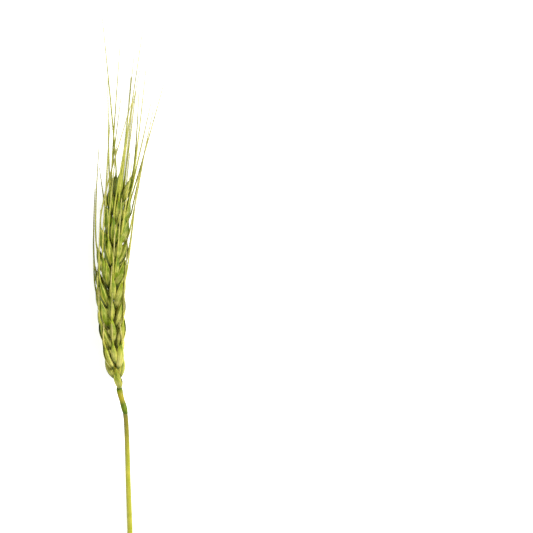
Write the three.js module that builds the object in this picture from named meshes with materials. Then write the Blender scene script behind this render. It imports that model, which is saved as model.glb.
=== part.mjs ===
// A bearded wheat ear, cut with a length of its stem and laid down on a flat surface.
// Millimetres. The cut end of the stem is towards -Y, the awns point to +Y and +Z is up.
// Spikelets stand one at a time on alternate sides of a zigzag rachis. Each one is a fan of
// three florets, and each floret is a husk that draws out into an awn.

import * as THREE from 'three';

// ---------------------------------------------------------------- driving dimensions

// The line that the stem and the rachis follow, from the cut end to the tip of the ear.
const AXIS_POINTS = [
  [2.0, 0, 1.2],
  [1.8, 14, 1.9],
  [1.2, 33, 3.3],
  [0.8, 50, 4.6],
  [0.1, 61, 5.4],
  [-1.8, 68.5, 5.7],
  [-3.3, 77.5, 5.9],
  [-4.5, 90, 6.1],
  [-5.4, 106, 6.2],
  [-4.8, 124, 6.2],
  [-2.9, 140, 6.2],
  [0.0, 155.5, 6.2],
];

const STEM_END_RADIUS = 1.12;
const STEM_TOP_RADIUS = 0.95;
const STEM_LENGTH = 61;
const STEM_SIDES = 12;
const STEM_STEPS = 24;

const RACHIS_HALF_WIDTH = 1.0;
const RACHIS_HALF_THICKNESS = 0.5;
const RACHIS_ZIGZAG = 0.35;
const RACHIS_TIP_SLENDERNESS = 0.62;
const RACHIS_SIDES = 8;
const GAP = 0.3;

// The collar above the stem: distance above the stem's end, and half width.
const COLLAR = [
  [GAP, 1.06],
  [1.2, 1.18],
  [3.6, 1.18],
  [5.0, 1.08],
  [7.4, 1.16],
];

// One joint of the rachis: the share of its length, and how much of the full width it has.
const JOINT_PROFILE = [
  [0, 1.12],
  [0.2, 0.78],
  [0.7, 0.94],
];

const SPIKELET_COUNT = 19;
const FIRST_NODE_AT = 71.2;
const INTERNODE = 4.1;

// The ear is twisted: its front row looks up at the foot, and to the right at the tip.
const TURN_AT_FOOT = 4;
const TURN_AT_TIP = 64;
const TWIST_FROM = 88;
const TWIST_TO = 146;

// How far a floret's foot stands from the rachis: outwards, to the side, and up for the middle one.
const NODE_STAND_OFF = 1.0;
const SIDE_OFFSET = 1.1;
const MIDDLE_STAND_OFF = 1.5;
const MIDDLE_RISE = 2.4;
const TERMINAL_MIDDLE_STAND_OFF = 1.7;
const TERMINAL_RISE = 1.6;
const TERMINAL_MIDDLE_RISE = 1.6;

// Degrees. The lean takes a spikelet outwards, and the fan spreads its florets sideways.
const LEAN_AT_FOOT = 16;
const LEAN_AT_TIP = 11;
const FAN_AT_FOOT = 18;
const FAN_AT_MIDDLE = 23.5;
const FAN_AT_TIP = 21;
const TERMINAL_FAN = 18;
const UNEVEN_LEAN = 2;
const UNEVEN_FAN = 2.5;

// The way that the back of a side floret faces, as shares of sideways and outwards.
const SIDE_FACING = { sideways: 0.85, outwards: 0.5 };
const UNEVEN_FACING = 0.35;
const MIDDLE_TILT = 0.1;

// Spikelets near the foot and the tip of the ear are a little smaller.
const SIZE_AT_FOOT = 0.78;
const SIZE_AT_TIP = 0.92;

// The spikelet numbers over which the ear changes from its foot to its middle and its tip.
const SIZE_GROWS_OVER = [0, 5];
const SIZE_SHRINKS_OVER = [11, 18];
const FAN_OPENS_OVER = [2, 7];
const FAN_CLOSES_OVER = [9, 15];
const LEAN_FALLS_OVER = [9, 15];
const AWNS_LENGTHEN_OVER = [0, 16];
const AWNS_SPREAD_OVER = [9, 18];

const FLORET_LENGTH = 11.6;
const FLORET_KEEL = 1.82;
const FLORET_BELLY = 1.15;
const FLORET_HALF_WIDTH = 1.7;
const FLORET_SIDES = 8;
const MIDDLE_FLORET_SCALE = 0.86;
const TERMINAL_MIDDLE_SCALE = 1.04;
const BASAL_SPIKELET_SCALE = 0.62;
const BASAL_SPIKELET_WIDENING = 1.36;
const BASAL_SPIKELET_ASIDE = 0.35;

// How full the husk is along its length: a rounded foot, a plump middle and a drawn-out tip.
const HUSK_PROFILE = [
  [0, 0.34],
  [0.1, 0.66],
  [0.28, 0.97],
  [0.48, 1],
  [0.68, 0.78],
  [0.86, 0.44],
];

// A husk grows straight for a share of its length, and then closes in towards the ear's line.
const HUSK_STRAIGHT_SHARE = 0.55;
const HUSK_CLOSING = 0.55;

const AWN_LENGTH = 50;
const AWN_BASE_RADIUS = 0.3;
const AWN_TIP_RADIUS = 0.14;
const AWN_KEEL = 1.2;
const AWN_STATIONS = 9;
const AWN_BEND_SHARE = 0.14;
const FIRST_AWN_STATION = 0.35;
const BASAL_AWN_LENGTH = 2.4;

// Degrees that an awn turns sideways and outwards from its spikelet, low and high on the ear.
const AWN_SPREAD = [0.5, 2];
const AWN_LIFT = [1.5, 6];
const UNEVEN_AWN = 2.5;

// An awn heads partly along its own place on the ear, and for the rest the way the ear's tip points.
const AWN_HEADING_SHARE = 0.6;

// How long an awn is, as a share of the longest: at the foot of the ear, and in the middle row.
const AWN_SHARE_AT_FOOT = 0.14;
const MIDDLE_AWN_SHARE = 0.72;
const UNEVEN_MIDDLE_AWN = 0.2;
const UNEVEN_AWN_LENGTH = 0.09;

// Where the awns of the top spikelets end, by spikelet number and place.
const AWN_TIPS = {
  '18 left': [-8.9, 220.4, 9],
  '18 middle': [4.0, 203.5, 10],
  '18 right': [5.8, 191.2, 7],
  '17 middle': [-1.7, 210.2, 6],
  '17 right': [-6.4, 194.3, 11],
  '16 left': [7.9, 215.4, 12],
  '16 middle': [8.8, 200.3, 8],
  '15 middle': [-1.5, 187.9, 4],
  '15 right': [-5.2, 178.0, 13],
  '14 left': [6.6, 197.5, 14],
  '14 middle': [10.9, 186.0, 7],
  '13 middle': [-10.3, 159.0, 5],
  '13 right': [3.4, 184.0, 15],
};

// How awns are bent clear of husks and of each other.
const AWN_CLEARANCE = 0.34;
const SETTLING_ROUNDS = 40;
const PROBES_PER_LINK = 3;
const EASE = 0.15;

// ---------------------------------------------------------------- colours

const HUSK_GREEN = 0x9aa03a;
const STEM_GREEN = 0xb5b653;
const RACHIS_GREEN = 0x8f9a33;

// ---------------------------------------------------------------- small helpers

const UP = new THREE.Vector3(0, 0, 1);
const rad = THREE.MathUtils.degToRad;
const lerp = THREE.MathUtils.lerp;
const smooth = THREE.MathUtils.smoothstep;

// A steady number from -1 to 1 for each pair of whole numbers, for natural unevenness.
function uneven(index, salt) {
  const wave = Math.sin(index * 127.1 + salt * 311.7 + 74.7) * 43758.5453;
  return 2 * (wave - Math.floor(wave)) - 1;
}

function sum(...terms) {
  const total = new THREE.Vector3();
  for (const [vector, amount] of terms) {
    total.addScaledVector(vector, amount);
  }
  return total;
}

function squareTo(vector, tangent) {
  return vector.clone().addScaledVector(tangent, -vector.dot(tangent)).normalize();
}

// ---------------------------------------------------------------- the ear's line

const axis = new THREE.CatmullRomCurve3(AXIS_POINTS.map((p) => new THREE.Vector3(...p)));
const AXIS_LENGTH = axis.getLength();

// The frame of the ear at a distance along it: front is the way that the front row faces.
function axisFrame(distance) {
  const u = Math.min(distance / AXIS_LENGTH, 1);
  const tangent = axis.getTangentAt(u);
  const turn = lerp(TURN_AT_FOOT, TURN_AT_TIP, smooth(distance, TWIST_FROM, TWIST_TO));
  const front = squareTo(UP, tangent).applyAxisAngle(tangent, rad(turn));
  return { point: axis.getPointAt(u), tangent, front, side: tangent.clone().cross(front) };
}

// ---------------------------------------------------------------- lofted solids

// A closed skin through a list of rings, each an array of points, with a point at each end.
function loft(rings) {
  const sides = rings[0].length;
  const middleOf = (ring) => sum(...ring.map((point) => [point, 1 / sides]));
  const points = [middleOf(rings[0]), ...rings.flat(), middleOf(rings[rings.length - 1])];
  const triangles = [];
  const at = (ring, side) => 1 + ring * sides + (side % sides);
  for (let side = 0; side < sides; side += 1) {
    triangles.push(0, at(0, side + 1), at(0, side));
    triangles.push(points.length - 1, at(rings.length - 1, side), at(rings.length - 1, side + 1));
  }
  for (let ring = 0; ring + 1 < rings.length; ring += 1) {
    for (let side = 0; side < sides; side += 1) {
      triangles.push(at(ring, side), at(ring, side + 1), at(ring + 1, side + 1));
      triangles.push(at(ring, side), at(ring + 1, side + 1), at(ring + 1, side));
    }
  }
  const geometry = new THREE.BufferGeometry().setFromPoints(points);
  geometry.setIndex(triangles);
  geometry.computeVertexNormals();
  return geometry;
}

// A ring about a centre. keel, belly and half are its reach to the back, front and sides.
function ringAt({ centre, tangent, back, keel, belly, half }, sides) {
  const across = tangent.clone().cross(back);
  return Array.from({ length: sides }, (_, index) => {
    const angle = (index / sides) * Math.PI * 2;
    const reach = Math.cos(angle) > 0 ? keel : belly;
    return sum([centre, 1], [back, reach * Math.cos(angle)], [across, half * Math.sin(angle)]);
  });
}

// ---------------------------------------------------------------- stem and rachis

function makeStem() {
  const rings = [];
  for (let step = 0; step <= STEM_STEPS; step += 1) {
    const along = step / STEM_STEPS;
    const { point, tangent, front } = axisFrame(along * STEM_LENGTH);
    const radius = lerp(STEM_END_RADIUS, STEM_TOP_RADIUS, along);
    const ring = { centre: point, tangent, back: front, keel: radius, belly: radius, half: radius };
    rings.push(ringAt(ring, STEM_SIDES));
  }
  return loft(rings);
}

// The rachis starts as a round collar on the stem. Above it each joint is flat and widens
// upwards to the next node, where it steps away from the spikelet that it carries.
function makeRachis() {
  const rings = COLLAR.map(([above, half]) => rachisRing(STEM_LENGTH + above, 0, half, half));
  for (let joint = 0; joint + 1 < SPIKELET_COUNT; joint += 1) {
    for (const [along, widening] of JOINT_PROFILE) {
      const distance = nodeAt(joint + along);
      const high = smooth(distance, FIRST_NODE_AT, nodeAt(SPIKELET_COUNT - 1));
      const slender = lerp(1, RACHIS_TIP_SLENDERNESS, high);
      const zigzag = RACHIS_ZIGZAG * slender * lerp(rowSign(joint), rowSign(joint + 1), along);
      const half = RACHIS_HALF_WIDTH * widening * slender;
      rings.push(rachisRing(distance, zigzag, half, RACHIS_HALF_THICKNESS * slender));
    }
  }
  return loft(rings);
}

function rachisRing(distance, zigzag, half, thickness) {
  const { point, tangent, front } = axisFrame(distance);
  const centre = point.addScaledVector(front, -zigzag);
  return ringAt({ centre, tangent, back: front, keel: thickness, belly: thickness, half }, RACHIS_SIDES);
}

function nodeAt(index) {
  return FIRST_NODE_AT + index * INTERNODE;
}

// Even spikelets are in the front row and odd ones in the back row.
function rowSign(index) {
  return index % 2 === 0 ? 1 : -1;
}

// ---------------------------------------------------------------- florets

function spikeletSize(index) {
  if (index === 0) {
    return BASAL_SPIKELET_SCALE;
  }
  const low = lerp(SIZE_AT_FOOT, 1, smooth(index, ...SIZE_GROWS_OVER));
  return low * lerp(1, SIZE_AT_TIP, smooth(index, ...SIZE_SHRINKS_OVER));
}

// The frame of one spikelet. The last one closes the ear, and is turned a quarter round.
function spikeletFrame(index) {
  const { point, tangent, front, side } = axisFrame(nodeAt(index));
  const terminal = index === SPIKELET_COUNT - 1;
  const sign = rowSign(index);
  const out = terminal ? side.clone().negate() : front.clone().multiplyScalar(sign);
  const across = tangent.clone().cross(out);
  const steadyLean = lerp(LEAN_AT_FOOT, LEAN_AT_TIP, smooth(index, ...LEAN_FALLS_OVER));
  const lean = steadyLean + UNEVEN_LEAN * uneven(index, 1);
  const forward = terminal
    ? tangent.clone()
    : sum([tangent, Math.cos(rad(lean))], [out, Math.sin(rad(lean))]);
  return { point, tangent, out, across, forward, terminal, size: spikeletSize(index) };
}

const PLACES = {
  left: { hand: -1, lift: 0 },
  middle: { hand: 0, lift: 1 },
  right: { hand: 1, lift: 0 },
  basal: { hand: 0, lift: 0 },
};

// The lowest spikelet is a single small husk. All the others are fans of three.
function placesIn(index) {
  return index === 0 ? ['basal'] : ['left', 'middle', 'right'];
}

// The ear is widest a third of the way up, where its spikelets fan out most.
function fanOf(index) {
  const rising = lerp(FAN_AT_FOOT, FAN_AT_MIDDLE, smooth(index, ...FAN_OPENS_OVER));
  return lerp(rising, FAN_AT_TIP, smooth(index, ...FAN_CLOSES_OVER));
}

// The half line of a husk: where it starts, the ways it grows, and which way its back faces.
function layFloret(index, placeName) {
  const frame = spikeletFrame(index);
  const { hand, lift } = PLACES[placeName];
  const middleScale = frame.terminal ? TERMINAL_MIDDLE_SCALE : MIDDLE_FLORET_SCALE;
  const size = frame.size * (lift ? middleScale : 1);
  const spread = frame.terminal ? TERMINAL_FAN : fanOf(index);
  const fan = rad(hand * (spread + UNEVEN_FAN * uneven(index, 2 + hand)));
  const aside = index === 0 ? BASAL_SPIKELET_ASIDE : hand * SIDE_OFFSET * frame.size;
  const outwards = frame.terminal
    ? lift * TERMINAL_MIDDLE_STAND_OFF
    : NODE_STAND_OFF + lift * MIDDLE_STAND_OFF;
  const rise = frame.terminal
    ? TERMINAL_RISE + lift * TERMINAL_MIDDLE_RISE
    : lift * MIDDLE_RISE * frame.size;
  const foot = sum(
    [frame.point, 1],
    [frame.out, outwards],
    [frame.across, aside],
    [frame.tangent, rise],
  );
  const grow = sum(
    [frame.forward, Math.cos(fan)],
    [frame.across, Math.sin(fan)],
    [frame.out, lift * MIDDLE_TILT],
  );
  const close = sum([grow, 1], [frame.tangent, HUSK_CLOSING]).normalize();
  const back = hand === 0
    ? sum([frame.out, 1], [frame.across, UNEVEN_FACING * uneven(index, 9)])
    : sum([frame.across, hand * SIDE_FACING.sideways], [frame.out, SIDE_FACING.outwards]);
  return { index, placeName, hand, lift, frame, size, foot, grow: grow.normalize(), close, back };
}

function huskPoint(floret, along) {
  const length = FLORET_LENGTH * floret.size;
  const bend = sum([floret.foot, 1], [floret.grow, length * HUSK_STRAIGHT_SHARE]);
  const tip = sum([bend, 1], [floret.close, length * (1 - HUSK_STRAIGHT_SHARE)]);
  const curve = new THREE.QuadraticBezierCurve3(floret.foot, bend, tip);
  return { centre: curve.getPoint(along), tangent: curve.getTangent(along) };
}

function huskRings(floret) {
  const widening = floret.index === 0 ? BASAL_SPIKELET_WIDENING : 1;
  return HUSK_PROFILE.map(([along, fullness]) => {
    const { centre, tangent } = huskPoint(floret, along);
    return ringAt({
      centre,
      tangent,
      back: squareTo(floret.back, tangent),
      keel: FLORET_KEEL * fullness * floret.size,
      belly: FLORET_BELLY * fullness * floret.size,
      half: FLORET_HALF_WIDTH * fullness * floret.size * widening,
    }, FLORET_SIDES);
  });
}

// ---------------------------------------------------------------- awns

function awnLength(floret) {
  const { index, lift } = floret;
  if (index === 0) {
    return BASAL_AWN_LENGTH;
  }
  const grown = lerp(AWN_SHARE_AT_FOOT, 1, smooth(index, ...AWNS_LENGTHEN_OVER));
  const middle = lift ? MIDDLE_AWN_SHARE + UNEVEN_MIDDLE_AWN * uneven(index, 5) : 1;
  return AWN_LENGTH * grown * middle * (1 + UNEVEN_AWN_LENGTH * uneven(index, 6 + floret.hand));
}

// An awn leaves along its husk, then bends to run nearly parallel to the ear.
function layAwn(floret) {
  const start = huskPoint(floret, 1);
  const given = AWN_TIPS[`${floret.index} ${floret.placeName}`];
  const tip = given ? new THREE.Vector3(...given) : awnTip(floret, start);
  const bendAt = start.centre.distanceTo(tip) * AWN_BEND_SHARE;
  const bend = sum([start.centre, 1], [start.tangent, bendAt]);
  const curve = new THREE.QuadraticBezierCurve3(start.centre, bend, tip);
  const points = [];
  for (let station = 0; station < AWN_STATIONS; station += 1) {
    const along = (station + FIRST_AWN_STATION) / (AWN_STATIONS - 1 + FIRST_AWN_STATION);
    points.push(curve.getPoint(along));
  }
  return points;
}

// The end of an awn that follows its spikelet. Higher on the ear, awns spread a little wider.
function awnTip(floret, start) {
  const { index, hand, frame } = floret;
  const length = awnLength(floret);
  const high = smooth(index, ...AWNS_SPREAD_OVER);
  const spread = rad(lerp(...AWN_SPREAD, high) * hand + UNEVEN_AWN * uneven(index, 15 + hand));
  const lift = rad(lerp(...AWN_LIFT, high) + UNEVEN_AWN * uneven(index, 19 + hand));
  const heading = axis.getTangentAt(1).lerp(frame.tangent, AWN_HEADING_SHARE);
  const run = sum([heading, 1], [frame.across, Math.tan(spread)], [frame.out, Math.tan(lift)]);
  const straight = length * AWN_BEND_SHARE;
  return sum([start.centre, 1], [start.tangent, straight], [run.normalize(), length - straight]);
}

function awnRadius(station) {
  return lerp(AWN_BASE_RADIUS, AWN_TIP_RADIUS, station / (AWN_STATIONS - 1));
}

function awnRings(floret, points) {
  return points.map((centre, station) => {
    const before = station === 0 ? huskPoint(floret, 1).centre : points[station - 1];
    const after = points[Math.min(station + 1, AWN_STATIONS - 1)];
    const tangent = after.clone().sub(before).normalize();
    const radius = awnRadius(station);
    const back = squareTo(floret.back, tangent);
    const keel = radius * AWN_KEEL;
    return ringAt({ centre, tangent, back, keel, belly: radius, half: radius }, FLORET_SIDES);
  });
}

// ---------------------------------------------------------------- keeping the awns apart

// Husks as strings of balls, which the awns have to pass clear of.
function huskBalls(florets) {
  return florets.flatMap((floret) => HUSK_PROFILE.slice(1).map(([along, fullness]) => ({
    floret,
    centre: huskPoint(floret, along).centre,
    radius: FLORET_KEEL * fullness * floret.size,
  })));
}

// The push that takes a spot out of reach of a centre, when it is nearer than it needs to be.
function pushAway(spot, centre, need, push) {
  const away = new THREE.Vector3().subVectors(spot, centre);
  const lack = need - away.length();
  if (lack > 0) {
    push.addScaledVector(away.normalize(), lack * 0.5);
  }
}

function pushFromAwn(spot, radius, others, push) {
  const nearest = new THREE.Vector3();
  for (let link = 0; link + 1 < others.length; link += 1) {
    const [from, to] = [others[link], others[link + 1]];
    if (spot.y < Math.min(from.y, to.y) - 1 || spot.y > Math.max(from.y, to.y) + 1) {
      continue;
    }
    const line = new THREE.Line3(from, to);
    const share = line.closestPointToPointParameter(spot, true);
    pushAway(spot, line.at(share, nearest), radius + awnRadius(link + share) + AWN_CLEARANCE, push);
  }
}

// Bends awns apart a little each round. The first point of each awn stays on its husk.
function settleAwns(florets, awns) {
  const balls = huskBalls(florets);
  const unbent = awns.map((points) => points.map((point) => point.clone()));
  for (let round = 0; round < SETTLING_ROUNDS; round += 1) {
    awns.forEach((points, own) => {
      for (let step = 1; step <= (points.length - 1) * PROBES_PER_LINK; step += 1) {
        const link = Math.ceil(step / PROBES_PER_LINK) - 1;
        const share = step / PROBES_PER_LINK - link;
        const spot = points[link].clone().lerp(points[link + 1], share);
        const radius = awnRadius(link + share);
        const push = new THREE.Vector3(0, 0, Math.max(0, radius - spot.z));
        for (const ball of balls) {
          if (ball.floret !== florets[own]) {
            pushAway(spot, ball.centre, ball.radius + radius + AWN_CLEARANCE, push);
          }
        }
        awns.filter((others) => others !== points).forEach((others) => {
          pushFromAwn(spot, radius, others, push);
        });
        points[link + 1].addScaledVector(push, share);
        points[link].addScaledVector(push, link > 0 ? 1 - share : 0);
      }
      easeBends(points, unbent[own]);
    });
  }
}

// Spreads each bend over the neighbouring points, so that an awn has no kinks.
function easeBends(points, unbent) {
  const shifts = points.map((point, station) => point.clone().sub(unbent[station]));
  for (let station = 1; station + 1 < points.length; station += 1) {
    const around = shifts[station - 1].clone().add(shifts[station + 1]).multiplyScalar(0.5);
    points[station].copy(unbent[station]).add(shifts[station].lerp(around, EASE));
  }
}

// ---------------------------------------------------------------- assembly

function namedMesh(name, geometry, colour, roughness) {
  const material = new THREE.MeshStandardMaterial({ color: colour, roughness, metalness: 0 });
  const mesh = new THREE.Mesh(geometry, material);
  mesh.name = name;
  return mesh;
}

function floretName({ index, placeName, frame }) {
  if (placeName === 'basal') {
    return 'basal_spikelet';
  }
  const spikelet = frame.terminal ? 'terminal_spikelet' : `spikelet_${String(index).padStart(2, '0')}`;
  return `${spikelet}_${placeName}_floret`;
}

function makeFlorets() {
  const florets = [];
  for (let index = 0; index < SPIKELET_COUNT; index += 1) {
    for (const placeName of placesIn(index)) {
      florets.push(layFloret(index, placeName));
    }
  }
  const awns = florets.map(layAwn);
  settleAwns(florets, awns);
  return florets.map((floret, order) => {
    const rings = [...huskRings(floret), ...awnRings(floret, awns[order])];
    return namedMesh(floretName(floret), loft(rings), HUSK_GREEN, 0.6);
  });
}

const ear = new THREE.Group();
ear.add(namedMesh('stem', makeStem(), STEM_GREEN, 0.55));
ear.add(namedMesh('rachis', makeRachis(), RACHIS_GREEN, 0.6));
ear.add(...makeFlorets());

// The origin is at the middle of the underside of the whole ear.
const bounds = new THREE.Box3().setFromObject(ear);
const middle = bounds.getCenter(new THREE.Vector3());
ear.position.set(-middle.x, -middle.y, -bounds.min.z);

export default ear;
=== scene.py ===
import math

import bmesh
import bpy
import numpy as np
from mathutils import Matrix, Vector


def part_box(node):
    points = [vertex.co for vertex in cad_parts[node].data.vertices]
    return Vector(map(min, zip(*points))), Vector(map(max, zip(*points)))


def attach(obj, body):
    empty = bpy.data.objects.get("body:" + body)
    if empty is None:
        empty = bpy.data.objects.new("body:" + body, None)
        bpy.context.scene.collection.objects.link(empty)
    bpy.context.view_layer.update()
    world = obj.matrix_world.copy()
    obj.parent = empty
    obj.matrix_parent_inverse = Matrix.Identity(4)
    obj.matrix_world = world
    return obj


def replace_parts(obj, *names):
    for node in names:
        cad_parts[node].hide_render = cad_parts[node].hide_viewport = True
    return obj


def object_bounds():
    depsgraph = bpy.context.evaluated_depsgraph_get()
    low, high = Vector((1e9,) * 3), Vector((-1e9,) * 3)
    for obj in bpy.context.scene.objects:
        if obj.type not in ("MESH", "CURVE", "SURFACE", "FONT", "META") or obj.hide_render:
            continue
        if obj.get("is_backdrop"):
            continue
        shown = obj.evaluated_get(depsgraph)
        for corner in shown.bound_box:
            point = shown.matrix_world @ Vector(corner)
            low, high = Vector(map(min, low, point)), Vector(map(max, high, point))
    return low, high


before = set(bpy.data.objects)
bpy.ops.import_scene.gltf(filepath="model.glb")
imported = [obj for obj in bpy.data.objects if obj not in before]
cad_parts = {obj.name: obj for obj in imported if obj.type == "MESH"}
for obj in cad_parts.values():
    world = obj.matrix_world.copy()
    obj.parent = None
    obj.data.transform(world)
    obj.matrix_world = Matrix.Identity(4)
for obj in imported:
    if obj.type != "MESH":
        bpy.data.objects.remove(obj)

CAD_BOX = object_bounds()
MM = 0.001

# ---------------------------------------------------------------- sizes of the fine pieces

# A floret's CAD solid has six rings on its husk, the last of them near the husk's tip.
HUSK_RINGS = 6
LAST_HUSK_RING_AT = 0.86

# Husks run along their floret by shares of its length. Wraps are degrees round from the keel.
HUSK_THICKNESS = 0.11 * MM
VEIN_HEIGHT = 0.035 * MM
KEEL_HEIGHT = 0.11 * MM
VEINS_AT = (26, 50, 74, 98)

LEMMA_FROM_TO = (-0.03, 1.12)
LEMMA_CLOSES_FROM = 0.78
LEMMA_WRAP = 128
LEMMA_WRAP_UNEVEN = 8
LEMMA_WRAP_AT_TIP = 0.75
LEMMA_STATIONS = 38
LEMMA_SAMPLES = 41

PALEA_FROM_TO = (0.02, 0.9)
PALEA_NARROWS_FROM = 0.6
PALEA_NARROWS_BY = 0.75
PALEA_WRAP = 82
PALEA_SUNK = 0.2 * MM
PALEA_STATIONS = 22
PALEA_SAMPLES = 17

GLUME_FROM = -0.04
GLUME_SHARE = 0.96
BASAL_GLUME_SHARE = 0.8
GLUME_SHARE_UNEVEN = 0.05
GLUME_NARROWS_BY = 0.9
GLUME_WRAP = 112
GLUME_WRAP_UNEVEN = 7
GLUME_STAND_OFF = 0.17 * MM
GLUME_FLARE = 0.5 * MM
GLUME_FLARE_UNEVEN = 0.4
GLUME_STATIONS = 34
GLUME_SAMPLES = 35
BEAK_LENGTH = 1.3 * MM
BEAK_RADIUS = 0.2 * MM
BEAK_SUNK = 0.12 * MM
BEAK_STATIONS = 9

AWN_START_SHARE = 0.84
AWN_FOOT_SHARE = 0.96
AWN_TIP_RADIUS = 0.12 * MM
AWN_TAPER = 1.6
AWN_TOOTH = 0.16
AWN_EDGE = 0.16
AWN_STATION = 0.55 * MM
FEWEST_AWN_STATIONS = 12

RACHILLA_RADIUS = 0.42 * MM
RACHILLA_SHAPE = (1.0, 1.0, 0.95, 0.95, 1.05, 0.9)
RACHILLA_SIDES = 10
RACHILLA_ROOT_SHARE = 0.5
RACHILLA_TIP_SHARE = 0.6

STEM_SIDES = 48
STEM_RIBS = 12
STEM_RIB_HEIGHT = 0.018 * MM
STEM_WALL = 0.42 * MM
STEM_HOLLOW = 9 * MM
STEM_INSET = 1.1 * MM
STEM_RIM = 0.03 * MM
STEM_BEVEL = 0.05 * MM
STEM_TOP_NARROWS_BY = 0.08
STEM_CUT_RIB_SHARE = 0.3
HOLLOW_END_SHARE = 0.4
STEM_STATIONS = 140
HOLLOW_STATIONS = 16

RACHIS_SIDES = 24
RACHIS_RIBS = 9
RACHIS_RIB_SHARE = 0.025
RACHIS_START = -0.35 * MM
RACHIS_STATIONS = 420
COLLAR_SLANT = 0.42 * MM
COLLAR_SLANT_REACH = 1.3 * MM
COLLAR_SLANT_TURN = 0.6

# How green the rachis is at each ring of its collar: green over the stem, then straw.
COLLAR_GREEN = (1.0, 0.95, 0.8, 0.05, 0.1)
RINGS_PER_JOINT = 3

HAIR_LENGTH = 0.95 * MM
HAIR_RADIUS = 0.022 * MM
HAIR_SHAPE = (1.0, 0.75, 0.2)
HAIR_SIDES = 4
HAIRS_PER_TUFT = 22
HAIR_ROOT_SHARE = 0.9
HAIR_TURN_UNEVEN = 0.2
HAIR_LEAN, HAIR_LEAN_UNEVEN = 0.55, 0.3
HAIR_SHARE, HAIR_SHARE_UNEVEN = 0.8, 0.35

# The hand that each floret of a spikelet is on, how its glume turns, and how full it is.
HANDS = {"left": -1, "middle": 0, "right": 1}
GLUME_TURN = math.radians(20)
GLUME_TURN_UNEVEN = 0.35
BASAL_GLUME_TURN = math.radians(58)
MIDDLE_FULLNESS = 0.93
SIDE_FULLNESS = 0.97
BACK_ROW_BULGE = 1.35

# What makes a husk paler: ripeness by chance and by standing low on the ear, and painted light
# that makes husks paler on the side of the ear that the key light falls on.
RIPE_BY_CHANCE = 0.5
PAINTED_LIGHT_BY_SIDE = 0.3
RIPE_WHEN_LOW = 1.2
UNRIPE_START = 0.68
PAINTED_LIGHT_SIDE_REACH = 5 * MM
RIPER_BELOW = (22 * MM, 52 * MM)
BASAL_RIPENESS = 0.6


# ---------------------------------------------------------------- small helpers


def uneven(index, salt):
    """A steady number from -1 to 1 for a pair of whole numbers, for natural unevenness."""
    wave = math.sin(index * 91.7 + salt * 47.3 + 12.9) * 43758.5453
    return 2 * (wave - math.floor(wave)) - 1


def ease(value, low, high):
    share = np.clip((np.asarray(value, float) - low) / (high - low), 0, 1)
    return share * share * (3 - 2 * share)


def unit(vectors):
    return vectors / np.maximum(np.linalg.norm(vectors, axis=-1, keepdims=True), 1e-12)


def square_to(vectors, tangent):
    return unit(vectors - tangent * np.sum(vectors * tangent, axis=-1, keepdims=True))


def spline(knots, values, at):
    """A smooth curve that passes through values at knots, read at the places in at."""
    knots, values, at = (np.asarray(x, float) for x in (knots, values, at))
    slopes = np.gradient(values, knots, axis=0)
    index = np.clip(np.searchsorted(knots, at) - 1, 0, len(knots) - 2)
    column = (-1,) + (1,) * (values.ndim - 1)
    step = (knots[index + 1] - knots[index]).reshape(column)
    share = (at - knots[index]).reshape(column) / step
    rise = share * share * (3 - 2 * share)
    out = share * (1 - share) ** 2
    into = share * share * (share - 1)
    return (
        values[index] * (1 - rise)
        + values[index + 1] * rise
        + slopes[index] * step * out
        + slopes[index + 1] * step * into
    )


# ---------------------------------------------------------------- reading the CAD solids


class Strand:
    """The line of a CAD solid: for each of its rings the centre, the way its back faces, and how
    far it reaches to the back, the belly and the sides."""

    def __init__(self, node):
        corners = np.array(lined_up(read_rings(node)))
        quarter = corners.shape[1] // 4
        self.centre = (corners[:, quarter] + corners[:, 3 * quarter]) / 2
        self.back = unit(corners[:, 0] - self.centre)
        self.keel = np.linalg.norm(corners[:, 0] - self.centre, axis=1)
        self.belly = np.linalg.norm(corners[:, 2 * quarter] - self.centre, axis=1)
        self.half = np.linalg.norm(corners[:, quarter] - corners[:, 3 * quarter], axis=1) / 2
        steps = np.linalg.norm(np.diff(self.centre, axis=0), axis=1)
        self.along = np.concatenate([[0], np.cumsum(steps)])

    def read(self, at):
        """The centre, tangent, back, across, keel, belly and half at each distance in at."""
        nudge = 0.05 * MM
        ahead = spline(self.along, self.centre, at + nudge)
        behind = spline(self.along, self.centre, at - nudge)
        tangent = unit(ahead - behind)
        back = square_to(spline(self.along, self.back, at), tangent)
        inside = np.clip(at, 0, self.along[-1])
        return Line(
            centre=spline(self.along, self.centre, at),
            tangent=tangent,
            back=back,
            across=np.cross(tangent, back),
            keel=spline(self.along, self.keel, inside),
            belly=spline(self.along, self.belly, inside),
            half=spline(self.along, self.half, inside),
        )


class Line:
    """Stations along a piece, each with its frame and reaches."""

    def __init__(self, **arrays):
        self.__dict__.update(arrays)


def read_rings(node):
    """The rings of corners of a CAD solid, from the foot to the tip."""
    solid = bmesh.new()
    solid.from_mesh(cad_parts[node].data)
    bmesh.ops.remove_doubles(solid, verts=solid.verts, dist=1e-7)
    solid.verts.index_update()
    solid.verts.ensure_lookup_table()
    ends = [vertex for vertex in solid.verts if len(vertex.link_edges) > 6]
    level = {min(ends, key=lambda vertex: vertex.co.y).index}
    seen = set(level)
    rings = []
    while True:
        level = {
            edge.other_vert(solid.verts[index]).index
            for index in level
            for edge in solid.verts[index].link_edges
        } - seen
        if len(level) < 2:
            break
        seen |= level
        rings.append(np.array([solid.verts[index].co[:] for index in sorted(level)]))
    solid.free()
    return rings


def turned(ring, middle, tangent, heading):
    """The ring's corners in order round the tangent, starting with the one nearest to heading."""
    first = square_to(heading, tangent)
    second = np.cross(tangent, first)
    spread = ring - middle
    angles = np.arctan2(spread @ second, spread @ first)
    ordered = ring[np.argsort(angles % (2 * math.pi))]
    start = unit(ordered - middle) @ first
    return np.roll(ordered, -int(start.argmax()), axis=0)


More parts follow.
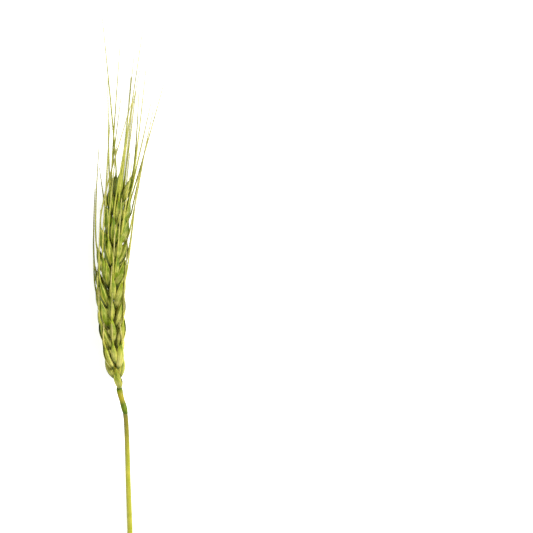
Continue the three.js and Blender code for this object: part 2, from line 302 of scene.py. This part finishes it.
def lined_up(rings):
    """The rings with their corners in order, so that the same corner comes first in each."""
    middles = np.array([ring.mean(axis=0) for ring in rings])
    tangents = unit(np.gradient(middles, axis=0))
    reaches = [np.linalg.norm(ring - middle, axis=1) for ring, middle in zip(rings, middles)]
    widest = max(range(len(rings)), key=lambda k: reaches[k].max())
    facing = (rings[widest] - middles[widest])[reaches[widest].argmax()]
    heading = facing
    for k in [*range(widest, len(rings)), *range(widest - 1, -1, -1)]:
        if k == widest - 1:
            heading = facing
        rings[k] = turned(rings[k], middles[k], tangents[k], heading)
        heading = rings[k][0] - middles[k]
    return rings


# ---------------------------------------------------------------- skins


class Skin:
    """Gathers tubes into one mesh. Each point keeps where it is along and around its piece."""

    VALUES = ("along", "around", "margin", "inside", "tone")

    def __init__(self, tone=0.0):
        self.tone = tone
        self.points = []
        self.faces = []
        self.face_slots = []
        self.values = {name: [] for name in self.VALUES}

    def tube(self, rows, along, around, margin, inside=0.0, slot=0):
        """A closed tube through rows of points, with each end shut by a strip of faces."""
        count, sides = rows.shape[:2]
        first = sum(len(block) for block in self.points)
        self.points.append(rows.reshape(-1, 3))
        given = (along, around, margin, inside, self.tone)
        for name, value in zip(self.VALUES, given):
            self.values[name].append(np.broadcast_to(value, (count, sides)).reshape(-1))
        made = []
        for row in range(count - 1):
            low = first + row * sides
            for side in range(sides):
                beside = (side + 1) % sides
                made.append((low + side, low + beside, low + sides + beside, low + sides + side))
        last = first + (count - 1) * sides
        for side in range(sides // 2 - 1):
            far = sides - 1 - side
            made.append((first + side, first + far, first + far - 1, first + side + 1))
            made.append((last + side, last + side + 1, last + far - 1, last + far))
        self.faces += made
        self.face_slots += [slot] * len(made)

    def piece(self, name, slot_name, materials):
        """Makes the mesh object, gives it its materials, and lets it ride on the one body."""
        mesh = bpy.data.meshes.new(name)
        mesh.from_pydata(np.concatenate(self.points).tolist(), [], self.faces)
        for value_name, blocks in self.values.items():
            layer = mesh.attributes.new(value_name, "FLOAT", "POINT")
            layer.data.foreach_set("value", np.concatenate(blocks).astype(np.float32))
        for material in materials:
            mesh.materials.append(material)
        mesh.polygons.foreach_set("material_index", self.face_slots)
        mesh.polygons.foreach_set("use_smooth", [True] * len(mesh.polygons))
        tidy = bmesh.new()
        tidy.from_mesh(mesh)
        bmesh.ops.recalc_face_normals(tidy, faces=tidy.faces)
        tidy.to_mesh(mesh)
        tidy.free()
        made = bpy.data.objects.new(name, mesh)
        bpy.context.scene.collection.objects.link(made)
        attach(made, "root")
        return made


def round_line(line, back_reach, across_reach):
    """Points round each station of a line, from how far each one lies to the back and across."""
    return (
        line.centre[:, None]
        + line.back[:, None] * back_reach[..., None]
        + line.across[:, None] * across_reach[..., None]
    )


def circle(sides):
    """The angles of a ring's corners, and how far round each one is from 0 to 1."""
    angles = np.linspace(0, 2 * math.pi, sides, endpoint=False)
    return angles, (angles / (2 * math.pi))[None, :]


def rod(skin, line, radius, along, sides, lobes=0, lobe_height=0.0, slot=0):
    """A round or lobed rod along a line."""
    angles, around = circle(sides)
    reach = np.asarray(radius, float)[:, None] * (1 + lobe_height * np.cos(lobes * angles))[None, :]
    rows = round_line(line, reach * np.cos(angles), reach * np.sin(angles))
    skin.tube(rows, along[:, None], around, 0.0, slot=slot)


def husk_shell(skin, line, along, wrap, turn, grow, samples, relief):
    """A thin curved leaf that wraps the line from its back. wrap is how far it goes round on each
    side, turn is where its keel stands, and grow is how far it stands proud of the line's reach."""
    across_share = np.linspace(-1, 1, samples)[None, :]
    angles = turn + wrap[:, None] * across_share
    back_reach = np.where(np.cos(angles) > 0, line.keel[:, None], line.belly[:, None])
    ridge = relief(angles - turn, along[:, None])
    thin = HUSK_THICKNESS * (1 - 0.6 * across_share**4)

    def surface(lift):
        back = (back_reach + lift) * np.cos(angles)
        return round_line(line, back, (line.half[:, None] + lift) * np.sin(angles))

    outer = surface(grow[:, None] + ridge)
    inner = surface(grow[:, None] - thin)
    rows = np.concatenate([outer, inner[:, ::-1]], axis=1)
    around = np.concatenate([angles - turn, (angles - turn)[:, ::-1]], axis=1) / math.pi
    margin = np.abs(np.concatenate([across_share, across_share[:, ::-1]], axis=1))
    inside = np.repeat([0.0, 1.0], samples)[None, :]
    skin.tube(rows, along[:, None], around, margin, inside)


# ---------------------------------------------------------------- husks


def ridge_at(angle, place, width):
    """A soft ridge at a place on each side of the keel."""
    return np.exp(-(((np.abs(angle) - place) / width) ** 2))


def lemma_relief(angle, along):
    """A keel down the middle and veins beside it, which gather towards the tip."""
    gather = 1 - 0.45 * ease(along, 0.55, 1)
    fade = ease(along, 0.06, 0.3)
    keel = KEEL_HEIGHT * ridge_at(angle, 0, 0.17) * (0.35 + 0.65 * fade)
    veins = sum(ridge_at(angle, place * gather, 0.075) for place in np.radians(VEINS_AT))
    return keel + VEIN_HEIGHT * veins * fade


def glume_relief(angle, along):
    """A glume's keel is sharper than a lemma's, and its veins run nearly straight."""
    fade = ease(along, 0.02, 0.25)
    keel = 1.7 * KEEL_HEIGHT * ridge_at(angle, 0, 0.15) * (0.3 + 0.7 * fade)
    veins = sum(ridge_at(angle, place * 0.92, 0.07) for place in np.radians(VEINS_AT))
    return keel + 1.1 * VEIN_HEIGHT * veins * fade


def palea_relief(angle, along):
    """Two soft keels where a palea folds, which run all along it."""
    return 0.6 * KEEL_HEIGHT * ridge_at(angle, 0.75, 0.16)


def husk_length(strand):
    return strand.along[HUSK_RINGS - 1] / LAST_HUSK_RING_AT


def husk_line(strand, share, fullness):
    """The line of a husk. fullness gives the share of each of the line's reaches that it fills."""
    line = strand.read(share * husk_length(strand))
    for name, filled in fullness.items():
        setattr(line, name, getattr(line, name) * filled)
    return line


def add_lemma(skin, strand, fullness, index):
    """The outer husk. Past its tip it closes round the foot of its awn."""
    share = np.linspace(*LEMMA_FROM_TO, LEMMA_STATIONS)
    closing = ease(share, LEMMA_CLOSES_FROM, LEMMA_FROM_TO[1])
    line = husk_line(strand, share, fullness)
    awn = strand.half[HUSK_RINGS]
    for name in fullness:
        setattr(line, name, getattr(line, name) * (1 - closing) + awn * closing)
    wrap = np.radians(LEMMA_WRAP + LEMMA_WRAP_UNEVEN * uneven(index, 3))
    wrap = wrap + closing * LEMMA_WRAP_AT_TIP
    husk_shell(skin, line, share, wrap, 0.0, np.zeros_like(share), LEMMA_SAMPLES, lemma_relief)


def add_palea(skin, strand, fullness):
    """The inner husk, which closes the open side of its lemma."""
    share = np.linspace(*PALEA_FROM_TO, PALEA_STATIONS)
    line = husk_line(strand, share, fullness)
    wrap = np.radians(PALEA_WRAP) * (1 - PALEA_NARROWS_BY * ease(share, PALEA_NARROWS_FROM, 1.0))
    sunk = np.full_like(share, -PALEA_SUNK)
    husk_shell(skin, line, share, wrap, math.pi, sunk, PALEA_SAMPLES, palea_relief)


def add_awn(skin, strand):
    """The awn starts inside the tip of its lemma, and is three-edged, rough and evenly tapered."""
    start = AWN_START_SHARE * husk_length(strand)
    end = strand.along[-1]
    count = max(FEWEST_AWN_STATIONS, int((end - start) / AWN_STATION))
    share = np.linspace(0, 1, count)
    line = strand.read(start + share * (end - start))
    foot_radius = strand.half[HUSK_RINGS] * AWN_FOOT_SHARE
    radius = foot_radius + (AWN_TIP_RADIUS - foot_radius) * share**AWN_TAPER
    teeth = 1 + AWN_TOOTH * (np.arange(count) % 2) * ease(share, 0.12, 0.25)
    rod(skin, line, radius * teeth, share, sides=6, lobes=3, lobe_height=AWN_EDGE, slot=1)


def add_glume(skin, strand, turn, index, length=GLUME_SHARE):
    """A boat-shaped glume that stands just outside its floret and narrows to a toothed tip."""
    end = length * (1 + GLUME_SHARE_UNEVEN * uneven(index, 20))
    share = np.linspace(GLUME_FROM, end, GLUME_STATIONS)
    done = (share - share[0]) / (share[-1] - share[0])
    line = strand.read(share * husk_length(strand))
    wrap = np.radians(GLUME_WRAP + GLUME_WRAP_UNEVEN * uneven(index, 21))
    wrap = wrap * (1 - GLUME_NARROWS_BY * done**2.5)
    flare = GLUME_FLARE * (1 + GLUME_FLARE_UNEVEN * uneven(index, 23))
    grow = GLUME_STAND_OFF + flare * done**2
    husk_shell(skin, line, done, wrap, turn, grow, GLUME_SAMPLES, glume_relief)
    add_beak(skin, line, turn, grow)


def add_beak(skin, line, turn, grow):
    """The keel of a glume runs on past its shoulder as a short tooth."""
    reach = line.keel + grow + KEEL_HEIGHT
    ridge = (
        line.centre
        + line.back * (reach * math.cos(turn))[:, None]
        + line.across * ((line.half + grow) * math.sin(turn))[:, None]
    )
    way = unit(ridge[-1] - ridge[-4])
    out = line.back[-1]
    share = np.linspace(0, 1, BEAK_STATIONS)
    root = ridge[-5] - out * BEAK_SUNK
    length = BEAK_LENGTH + np.linalg.norm(ridge[-1] - ridge[-5])
    centre = root + np.outer(share * length, way)
    beak = Line(
        centre=centre,
        back=np.broadcast_to(out, centre.shape),
        across=np.broadcast_to(np.cross(way, out), centre.shape),
    )
    rod(skin, beak, BEAK_RADIUS * (1 - 0.75 * share), 0.8 + 0.2 * share, sides=6)


# ---------------------------------------------------------------- shader node groups


def rgb(red, green, blue):
    """A colour given as it looks on a screen, from 0 to 255, as the shader wants it."""

    def linear(value):
        value /= 255
        return value / 12.92 if value <= 0.04045 else ((value + 0.055) / 1.055) ** 2.4

    return (linear(red), linear(green), linear(blue), 1.0)


def new_group(name, inputs, outputs):
    group = bpy.data.node_groups.new(name, "ShaderNodeTree")
    for socket, kind, value in inputs:
        made = group.interface.new_socket(socket, in_out="INPUT", socket_type=kind)
        made.default_value = value
    for socket, kind in outputs:
        group.interface.new_socket(socket, in_out="OUTPUT", socket_type=kind)
    entry = group.nodes.new("NodeGroupInput")
    leave = group.nodes.new("NodeGroupOutput")
    return group, entry, leave


def join(tree, source, target):
    tree.links.new(source, target)


def feed(tree, socket, value):
    """Joins a socket to another node's output, or sets it to a plain value."""
    if hasattr(value, "is_linked"):
        join(tree, value, socket)
    else:
        socket.default_value = value


def maths(tree, operation, *values):
    node = tree.nodes.new("ShaderNodeMath")
    node.operation = operation
    for socket, value in zip(node.inputs, values):
        feed(tree, socket, value)
    return node.outputs[0]


def blend_colour(tree, share, low, high):
    """The low colour where share is 0 and the high one where it is 1."""
    node = tree.nodes.new("ShaderNodeMix")
    node.data_type = "RGBA"
    for socket, value in ((node.inputs[0], share), (node.inputs[6], low), (node.inputs[7], high)):
        feed(tree, socket, value)
    return node.outputs[2]


def wash(tree, colour, mask, strength, tint):
    """The colour with a tint laid over it where the mask is high."""
    return blend_colour(tree, maths(tree, "MULTIPLY", mask, strength), colour, tint)


def falling(tree, value, low, high):
    """1 where a value is under low, falling to 0 at high."""
    return maths(tree, "SUBTRACT", 1.0, remap(tree, value, low, high))


def remap(tree, value, low, high):
    node = tree.nodes.new("ShaderNodeMapRange")
    node.interpolation_type = "SMOOTHSTEP"
    join(tree, value, node.inputs["Value"])
    node.inputs["From Min"].default_value = low
    node.inputs["From Max"].default_value = high
    return node.outputs["Result"]


def painted(tree, name):
    """A value that the mesh carries at its points."""
    node = tree.nodes.new("ShaderNodeAttribute")
    node.attribute_name = name
    return node.outputs["Fac"]


def noise(tree, scale, detail=3.0, stretch=(1, 1, 1)):
    """Soft mottling fixed to the object, in millimetres. stretch squeezes it along an axis."""
    place = tree.nodes.new("ShaderNodeTexCoord")
    mapping = tree.nodes.new("ShaderNodeMapping")
    mapping.inputs["Scale"].default_value = [axis / MM for axis in stretch]
    join(tree, place.outputs["Object"], mapping.inputs["Vector"])
    node = tree.nodes.new("ShaderNodeTexNoise")
    node.inputs["Scale"].default_value = scale
    node.inputs["Detail"].default_value = detail
    join(tree, mapping.outputs[0], node.inputs["Vector"])
    return node.outputs["Fac"]


def make_rib_group():
    """Fine lines along a piece: ribs stand up at even steps around it, a little unevenly."""
    group, entry, leave = new_group(
        "fine_ribs",
        [
            ("Around", "NodeSocketFloat", 0.0),
            ("Ribs", "NodeSocketFloat", 20.0),
            ("Sharpness", "NodeSocketFloat", 2.0),
        ],
        [("Mask", "NodeSocketFloat")],
    )
    wander = maths(group, "MULTIPLY", noise(group, 0.5, 2.0), 0.5)
    turns = maths(group, "MULTIPLY_ADD", entry.outputs["Around"], entry.outputs["Ribs"], wander)
    wave = maths(group, "COSINE", maths(group, "MULTIPLY", turns, 2 * math.pi))
    lifted = maths(group, "MULTIPLY_ADD", wave, 0.5, 0.5)
    mask = maths(group, "POWER", lifted, entry.outputs["Sharpness"])
    join(group, mask, leave.inputs["Mask"])
    return group


def make_mottle_group():
    """Two colours mixed by soft blotches of two sizes."""
    group, entry, leave = new_group(
        "leaf_mottle",
        [
            ("Low", "NodeSocketColor", (0.1, 0.2, 0.0, 1)),
            ("High", "NodeSocketColor", (0.5, 0.5, 0.1, 1)),
            ("Balance", "NodeSocketFloat", 0.5),
        ],
        [("Color", "NodeSocketColor")],
    )
    blotch = maths(group, "SUBTRACT", noise(group, 0.35, 3.0), 0.5)
    speck = maths(group, "SUBTRACT", noise(group, 2.2, 4.0), 0.5)
    both = maths(group, "MULTIPLY_ADD", speck, 0.5, blotch)
    spread = maths(group, "MULTIPLY_ADD", both, 2.2, entry.outputs["Balance"])
    mask = maths(group, "MINIMUM", maths(group, "MAXIMUM", spread, 0.0), 1.0)
    colour = blend_colour(group, mask, entry.outputs["Low"], entry.outputs["High"])
    join(group, colour, leave.inputs["Color"])
    return group


RIBS = make_rib_group()
MOTTLE = make_mottle_group()


def place_group(tree, group, **values):
    node = tree.nodes.new("ShaderNodeGroup")
    node.node_tree = group
    for name, value in values.items():
        feed(tree, node.inputs[name], value)
    return node


def mottled(tree, low, high, balance=0.5):
    """A mottled colour between two, with more of the high one when balance is high."""
    return place_group(tree, MOTTLE, Low=low, High=high, Balance=balance).outputs["Color"]


def ribbed(tree, around, ribs, sharpness):
    """A mask of fine lines along a piece."""
    return place_group(tree, RIBS, Around=around, Ribs=ribs, Sharpness=sharpness).outputs["Mask"]


# ---------------------------------------------------------------- materials


FINE_BUMP = 0.03 * MM
AWN_FOOT_COLOUR = rgb(163, 163, 60)


def new_material(name, roughness, specular):
    material = bpy.data.materials.new(name)
    material.use_nodes = True
    tree = material.node_tree
    shader = tree.nodes["Principled BSDF"]
    shader.inputs["Roughness"].default_value = roughness
    shader.inputs["Specular IOR Level"].default_value = specular
    return material, tree, shader


def add_bump(tree, shader, height, strength=0.6):
    bump = tree.nodes.new("ShaderNodeBump")
    bump.inputs["Distance"].default_value = FINE_BUMP
    bump.inputs["Strength"].default_value = strength
    join(tree, height, bump.inputs["Height"])
    join(tree, bump.outputs[0], shader.inputs["Normal"])


def set_roughness(tree, shader, mask, spread, least):
    """Roughness that rises by spread from its least where the mask is high."""
    join(tree, maths(tree, "MULTIPLY_ADD", mask, spread, least), shader.inputs["Roughness"])


def husk_material():
    """Green husk: deep green at its foot, partly its own green and partly painted shade where the
    feet sit deep by the rachis, pale straw over its swelling, and green again to its tip, with a
    pale keel, green veins and a thin yellow margin. Its inner face is painted dark green as painted
    shade.
    Riper husks are paler, and so are husks on the key light's side, which is painted light."""
    material, tree, shader = new_material("green_husk", 0.5, 0.22)
    along, around, margin, inside, tone = (painted(tree, name) for name in Skin.VALUES)
    balance = maths(tree, "MULTIPLY_ADD", tone, 0.48, 0.5)
    body = mottled(tree, rgb(104, 124, 6), rgb(216, 206, 118), balance)
    tip = mottled(tree, rgb(68, 96, 0), rgb(160, 172, 18), balance)
    colour = blend_colour(tree, remap(tree, along, 0.4, 0.92), body, tip)
    between = maths(tree, "SUBTRACT", 1.0, ribbed(tree, around, 5.0, 0.9))
    colour = wash(tree, colour, between, 0.34, rgb(92, 112, 4))
    ribs = ribbed(tree, around, 22.0, 1.6)
    colour = wash(tree, colour, ribs, 0.42, rgb(90, 112, 4))
    keel = falling(tree, maths(tree, "ABSOLUTE", around), 0.02, 0.09)
    colour = wash(tree, colour, keel, 0.5, rgb(214, 206, 100))
    colour = wash(tree, colour, remap(tree, margin, 0.8, 1.0), 0.7, rgb(206, 198, 80))
    # Painted shade, partly the husk's own green: deep green at the foot, where it sits deep by the
    # rachis.
    colour = wash(tree, colour, falling(tree, along, 0.03, 0.2), 0.9, rgb(58, 80, 0))
    # Painted shade: the inner face of each husk is painted dark green.
    colour = wash(tree, colour, inside, 0.75, rgb(66, 88, 0))
    colour = wash(tree, colour, remap(tree, along, 0.96, 1.12), 0.9, AWN_FOOT_COLOUR)
    join(tree, colour, shader.inputs["Base Color"])
    set_roughness(tree, shader, ribs, 0.16, 0.45)
    add_bump(tree, shader, maths(tree, "MULTIPLY_ADD", noise(tree, 6.0, 3.0), 0.35, ribs))
    return material


def awn_material():
    """An awn is yellow green at its foot and pale olive straw towards its tip. Its tone is painted
    paler on the key light's side of the ear, as painted light.
    """
    material, tree, shader = new_material("awn_straw", 0.45, 0.3)
    along, tone = painted(tree, "along"), painted(tree, "tone")
    # The tone carries painted light: paler on the key light's side of the ear.
    balance = maths(tree, "MULTIPLY_ADD", tone, 0.4, 0.5)
    foot = mottled(tree, rgb(138, 144, 40), rgb(188, 180, 84), balance)
    end = mottled(tree, rgb(142, 142, 72), rgb(186, 174, 108), balance)
    colour = blend_colour(tree, remap(tree, along, 0.15, 0.85), foot, end)
    join(tree, colour, shader.inputs["Base Color"])
    grain = noise(tree, 5.0, 2.0)
    set_roughness(tree, shader, grain, 0.25, 0.35)
    add_bump(tree, shader, grain, 0.5)
    return material


def stem_material():
    """Straw that is olive under the ear and turns to bright yellow green lower down."""
    material, tree, shader = new_material("green_straw", 0.38, 0.38)
    along, around = painted(tree, "along"), painted(tree, "around")
    low = mottled(tree, rgb(146, 148, 18), rgb(176, 168, 58))
    high = mottled(tree, rgb(86, 84, 0), rgb(122, 106, 8))
    colour = blend_colour(tree, remap(tree, along, 0.62, 0.98), low, high)
    ribs = ribbed(tree, around, 36.0, 1.4)
    colour = wash(tree, colour, ribs, 0.3, rgb(158, 166, 52))
    join(tree, colour, shader.inputs["Base Color"])
    set_roughness(tree, shader, ribs, 0.2, 0.3)
    add_bump(tree, shader, ribs)
    return material


def rachis_material():
    """The rachis is deep green at its collar and joints, and yellower between them."""
    material, tree, shader = new_material("rachis_green", 0.5, 0.2)
    joint, around = painted(tree, "margin"), painted(tree, "around")
    between = mottled(tree, rgb(126, 120, 8), rgb(170, 152, 44))
    green = mottled(tree, rgb(50, 78, 0), rgb(104, 124, 6))
    colour = blend_colour(tree, joint, between, green)
    ribs = ribbed(tree, around, 22.0, 1.4)
    colour = wash(tree, colour, ribs, 0.25, rgb(110, 124, 14))
    join(tree, colour, shader.inputs["Base Color"])
    set_roughness(tree, shader, ribs, 0.18, 0.42)
    add_bump(tree, shader, ribs)
    return material


def hair_material():
    """Short silvery hairs."""
    material, tree, shader = new_material("silver_hair", 0.6, 0.3)
    colour = mottled(tree, rgb(188, 190, 130), rgb(226, 222, 186))
    join(tree, colour, shader.inputs["Base Color"])
    return material


def floor_material():
    material, tree, shader = new_material("pale_floor", 0.9, 0.1)
    shader.inputs["Base Color"].default_value = (0.9, 0.9, 0.9, 1)
    shader.inputs["Emission Color"].default_value = (1, 1, 1, 1)
    shader.inputs["Emission Strength"].default_value = FLOOR_GLOW
    return material


# ---------------------------------------------------------------- camera, floor and light


CAMERA_ASIDE = 53.6 * MM
CAMERA_ALONG = 119.4 * MM
VIEW_WIDTH = 213.2 * MM
LENS = 135.0
SENSOR = 36.0
EAR_HEIGHT = 6 * MM
FARTHEST_SEEN = 10
FLOOR_REACH = 3.0
FLOOR_GLOW = 0.55
ROOM_LIGHT = 0.3
KEY_POWER = 14
FILL_POWER = 5.0


def make_camera():
    """Looks straight down. The ear lies in the left part of the view, its stem running out of it."""
    low, high = (np.array(corner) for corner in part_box("stem"))
    data = bpy.data.cameras.new("camera")
    data.lens = LENS
    data.sensor_width = SENSOR
    camera = bpy.data.objects.new("camera", data)
    bpy.context.scene.collection.objects.link(camera)
    distance = VIEW_WIDTH / 2 / (SENSOR / 2 / LENS)
    camera.location = (high[0] + CAMERA_ASIDE, low[1] + CAMERA_ALONG, EAR_HEIGHT + distance)
    data.clip_end = FARTHEST_SEEN
    bpy.context.scene.camera = camera


def make_floor():
    mesh = bpy.data.meshes.new("floor")
    far = FLOOR_REACH
    corners = [(-far, -far, 0), (far, -far, 0), (far, far, 0), (-far, far, 0)]
    mesh.from_pydata(corners, [], [(0, 1, 2, 3)])
    mesh.materials.append(floor_material())
    floor = bpy.data.objects.new("floor", mesh)
    bpy.context.scene.collection.objects.link(floor)
    floor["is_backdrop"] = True


def add_softbox(name, place, size, power, colour):
    data = bpy.data.lights.new(name, "AREA")
    data.size = size
    data.energy = power
    data.color = colour
    light = bpy.data.objects.new(name, data)
    light.location = place
    light.rotation_mode = "QUATERNION"
    light.rotation_quaternion = Vector([-value for value in place]).to_track_quat("-Z", "Y")
    bpy.context.scene.collection.objects.link(light)


def make_light():
    scene = bpy.context.scene
    world = bpy.data.worlds.new("room")
    scene.world = world
    world.use_nodes = True
    background = world.node_tree.nodes["Background"]
    background.inputs["Color"].default_value = (1.0, 1.0, 0.99, 1)
    background.inputs["Strength"].default_value = ROOM_LIGHT
    add_softbox("key", (0.55, 0.3, 0.7), 0.35, KEY_POWER, (1.0, 0.99, 0.95))
    add_softbox("fill", (-0.7, -0.2, 0.9), 0.9, FILL_POWER, (0.98, 1.0, 1.0))
    scene.view_settings.view_transform = "Standard"


# ---------------------------------------------------------------- stem and rachis


def make_stem(material):
    """A hollow straw with fine ribs. Its cut end is open, and its wall shows."""
    strand = Strand("stem")
    length = strand.along[-1]
    outside = np.linspace(length + STEM_INSET, 0, STEM_STATIONS)
    rim = np.array([-STEM_RIM, -STEM_RIM])
    hollow = np.linspace(0, STEM_HOLLOW, HOLLOW_STATIONS)
    places = np.concatenate([outside, rim, hollow])
    line = strand.read(np.clip(places, -STEM_BEVEL, None))
    cut = len(outside)
    radius = line.keel.copy()
    narrowing = ease(outside, length - 0.2 * MM, length + 0.4 * MM)
    radius[:cut] *= 1 - STEM_TOP_NARROWS_BY * narrowing
    radius[cut] -= STEM_BEVEL
    radius[cut + 1 :] -= STEM_WALL
    radius[-1] *= HOLLOW_END_SHARE
    rib_share = np.ones(len(places))
    rib_share[cut:] = STEM_CUT_RIB_SHARE
    angles, around = circle(STEM_SIDES)
    wave = np.cos(STEM_RIBS * angles)
    reach = radius[:, None] + STEM_RIB_HEIGHT * rib_share[:, None] * wave[None, :]
    rows = round_line(line, reach * np.cos(angles), reach * np.sin(angles))
    skin = Skin()
    skin.tube(rows, (np.clip(places, 0, length) / length)[:, None], around, 0.0)
    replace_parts(skin.piece("stem_straw", "stem", [material]), "stem")


def joint_green(ring_count):
    """How green the rachis is at each of its rings, from 0 to 1."""
    collar = len(COLLAR_GREEN)
    phase = ((np.arange(ring_count) - collar) % RINGS_PER_JOINT) / RINGS_PER_JOINT
    green = np.cos(phase * 2 * math.pi) * 0.4 + 0.5
    green[:collar] = COLLAR_GREEN
    return green


def make_rachis(material):
    """The zigzag rachis, flat between its joints, on a round collar that meets the stem."""
    strand = Strand("rachis")
    places = np.linspace(RACHIS_START, strand.along[-1], RACHIS_STATIONS)
    line = strand.read(places)
    green = spline(strand.along, joint_green(len(strand.along)), np.clip(places, 0, None))
    angles, around = circle(RACHIS_SIDES)
    ribs = 1 + RACHIS_RIB_SHARE * np.cos(RACHIS_RIBS * angles)
    slant = COLLAR_SLANT * np.exp(-np.maximum(places, 0) / COLLAR_SLANT_REACH)
    back_reach = line.keel[:, None] * (ribs * np.cos(angles))[None, :]
    across_reach = line.half[:, None] * (ribs * np.sin(angles))[None, :]
    slope = slant[:, None] * np.sin(angles + COLLAR_SLANT_TURN)[None, :]
    rows = round_line(line, back_reach, across_reach) + line.tangent[:, None] * slope[..., None]
    skin = Skin()
    skin.tube(rows, (places / places[-1])[:, None], around, np.clip(green, 0, 1)[:, None])
    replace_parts(skin.piece("rachis_axis", "rachis", [material]), "rachis")
    return strand


def straight_line(start, end, count, back):
    """Stations on a straight line, for a short rod."""
    share = np.linspace(0, 1, count)[:, None]
    way = unit(end - start)
    back = square_to(back, way)
    centre = start + share * (end - start)
    return Line(
        centre=centre,
        back=np.broadcast_to(back, centre.shape),
        across=np.broadcast_to(np.cross(way, back), centre.shape),
    )


def nearest_ring(rachis, place):
    return int(np.linalg.norm(rachis.centre - place, axis=1).argmin())


def add_rachilla(skin, rachis, strand):
    """The short stalk that joins a floret's foot to the rachis."""
    foot, way = strand.centre[0], strand.centre[1] - strand.centre[0]
    start = rachis.centre[nearest_ring(rachis, foot)] - way * RACHILLA_ROOT_SHARE
    end = foot + way * RACHILLA_TIP_SHARE
    line = straight_line(start, end, len(RACHILLA_SHAPE), strand.back[0])
    along = np.linspace(0, 0.1, len(RACHILLA_SHAPE))
    rod(skin, line, RACHILLA_RADIUS * np.array(RACHILLA_SHAPE), along, RACHILLA_SIDES)


def add_tuft(skin, rachis, foot, seed):
    """Short hairs that fringe the rachis at a spikelet's foot."""
    ring = nearest_ring(rachis, foot)
    centre, side = rachis.centre[ring], rachis.back[ring]
    up = unit(centre - rachis.centre[ring - 1])
    front = np.cross(up, side)
    for hair in range(HAIRS_PER_TUFT):
        turn = 2 * math.pi * hair / HAIRS_PER_TUFT + HAIR_TURN_UNEVEN * uneven(hair, seed)
        sideways, forwards = side * math.cos(turn), front * math.sin(turn)
        reach = sideways * rachis.keel[ring] + forwards * rachis.half[ring]
        root = centre + HAIR_ROOT_SHARE * reach
        lean = HAIR_LEAN + HAIR_LEAN_UNEVEN * uneven(hair, seed + 1)
        length = HAIR_LENGTH * (HAIR_SHARE + HAIR_SHARE_UNEVEN * uneven(hair, seed + 2))
        tip = root + unit(up + unit(sideways + forwards) * lean) * length
        line = straight_line(root, tip, len(HAIR_SHAPE), side + 0.1 * up)
        along = np.linspace(0, 1, len(HAIR_SHAPE))
        rod(skin, line, HAIR_RADIUS * np.array(HAIR_SHAPE), along, HAIR_SIDES)


# ---------------------------------------------------------------- the ear


def floret_nodes():
    """Each floret's CAD node, with its place in its spikelet and the spikelet's number from the
    foot of the ear."""
    found = [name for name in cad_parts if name.endswith("_floret")]
    found.sort(key=lambda name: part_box(name)[0][1])
    spikelets = sorted({name.rsplit("_", 2)[0] for name in found})
    for name in found:
        spikelet, place, _ = name.rsplit("_", 2)
        yield name, place, spikelets.index(spikelet)


def ripeness_and_painted_light(strand, rachis, chance):
    """From -1 for green to 1 for straw. Riper low on the ear; painted paler on the key-lit side."""
    middle = strand.centre[HUSK_RINGS // 2]
    nearest = np.abs(rachis.centre[:, 1] - middle[1]).argmin()
    # Painted light: husks on the key light's side of the rachis are painted paler.
    side = (middle[0] - rachis.centre[nearest][0]) / PAINTED_LIGHT_SIDE_REACH
    low = 1 - ease(middle[1] - rachis.centre[0][1], *RIPER_BELOW)
    ripe_and_painted_light = RIPE_BY_CHANCE * chance + PAINTED_LIGHT_BY_SIDE * side + RIPE_WHEN_LOW * low
    return float(np.clip(ripe_and_painted_light - UNRIPE_START, -1, 1))


def fullness_of(strand, hand, rachis):
    """How full a husk is. The back row bulges inwards a little more, and closes the ear."""
    share = SIDE_FULLNESS if hand else MIDDLE_FULLNESS
    fullness = {"keel": share, "half": share, "belly": share}
    middle = strand.centre[HUSK_RINGS // 2]
    if middle[2] < rachis.centre[nearest_ring(rachis, middle)][2]:
        fullness["belly" if hand else "half"] *= BACK_ROW_BULGE
    return fullness


def make_floret(node, place, index, rachis, husk, awn):
    """A floret's lemma, palea and awn in one piece, and the glume outside a side floret."""
    hand = HANDS[place]
    strand = Strand(node)
    name = node.removesuffix("_floret")
    key = index * 3 + hand + 1
    fullness = fullness_of(strand, hand, rachis)
    lemma = Skin(tone=ripeness_and_painted_light(strand, rachis, uneven(key, 1)))
    add_lemma(lemma, strand, fullness, key)
    add_palea(lemma, strand, fullness)
    add_awn(lemma, strand)
    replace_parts(lemma.piece(f"{name}_lemma", "husk", [husk, awn]), node)
    if hand:
        glume = Skin(tone=ripeness_and_painted_light(strand, rachis, uneven(key, 4)))
        turn = -hand * GLUME_TURN * (1 + GLUME_TURN_UNEVEN * uneven(key, 22))
        add_glume(glume, strand, turn, key)
        glume.piece(f"{name}_glume", "husk", [husk])
    return strand


def make_basal_spikelet(husk):
    """The small spikelet at the foot of the ear. It has two glumes and no awn."""
    strand = Strand("basal_spikelet")
    skin = Skin(tone=BASAL_RIPENESS)
    full = {"keel": 1.0, "half": 1.0, "belly": 1.0}
    add_lemma(skin, strand, full, 0)
    add_palea(skin, strand, full)
    for hand in (-1, 1):
        add_glume(skin, strand, hand * BASAL_GLUME_TURN, hand, BASAL_GLUME_SHARE)
    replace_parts(skin.piece("basal_spikelet_husk", "husk", [husk]), "basal_spikelet")
    return strand


def make_ear():
    husk, awn = husk_material(), awn_material()
    green, hair = rachis_material(), hair_material()
    make_stem(stem_material())
    rachis = make_rachis(green)
    rachillas, tufts = Skin(), Skin()
    for node, place, index in floret_nodes():
        strand = make_floret(node, place, index, rachis, husk, awn)
        add_rachilla(rachillas, rachis, strand)
        if place == "left":
            add_tuft(tufts, rachis, strand.centre[0], index)
    add_rachilla(rachillas, rachis, make_basal_spikelet(husk))
    rachillas.piece("rachillas", "rachis", [green])
    tufts.piece("rachis_hairs", "rachis", [hair])


make_camera()
make_floor()
make_light()
make_ear()

boxes = {"cad": CAD_BOX, "visual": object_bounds()}
{name: [list(corner) for corner in box] for name, box in boxes.items()}
